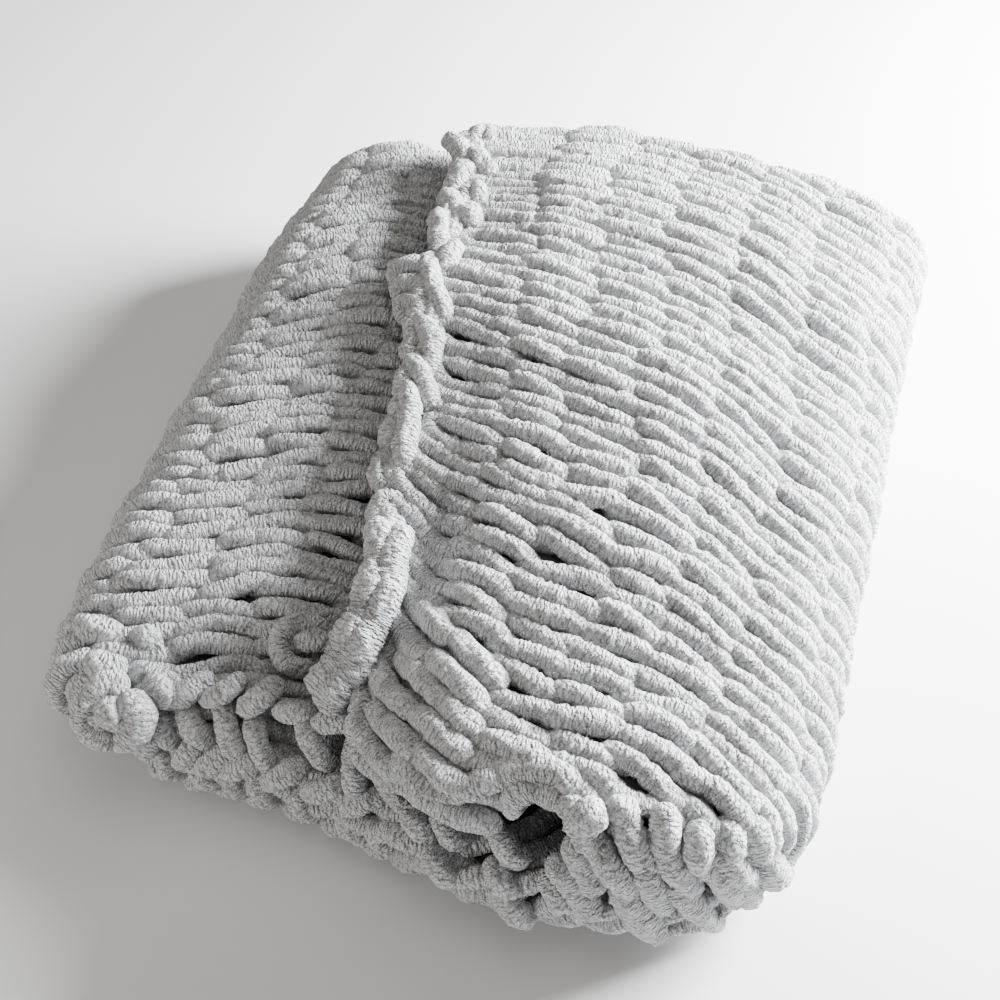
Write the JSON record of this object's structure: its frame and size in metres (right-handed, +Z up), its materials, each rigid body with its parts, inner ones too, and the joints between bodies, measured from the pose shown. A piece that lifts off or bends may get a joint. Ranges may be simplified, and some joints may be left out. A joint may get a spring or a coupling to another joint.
{
  "type": "folded chunky knit blanket",
  "caption": "Chunky knit chenille blanket, doubled and wrapped into a soft folded bundle that rests on its flat underside.",
  "frame": {"origin": "centre of the bounding box's bottom face, on the surface the bundle rests on", "axes": "+Z up, +Y from the open, curled front end towards the doubled back end (the bundle's length), +X towards the right side fold"},
  "size_m": [0.5789, 0.6669, 0.1782],
  "materials": {
    "yarn": "soft pale grey polyester chenille, matt with a short pile"
  },
  "bodies": {
    "root": {"blanket": "yarn"}
  },
  "joints": []
}
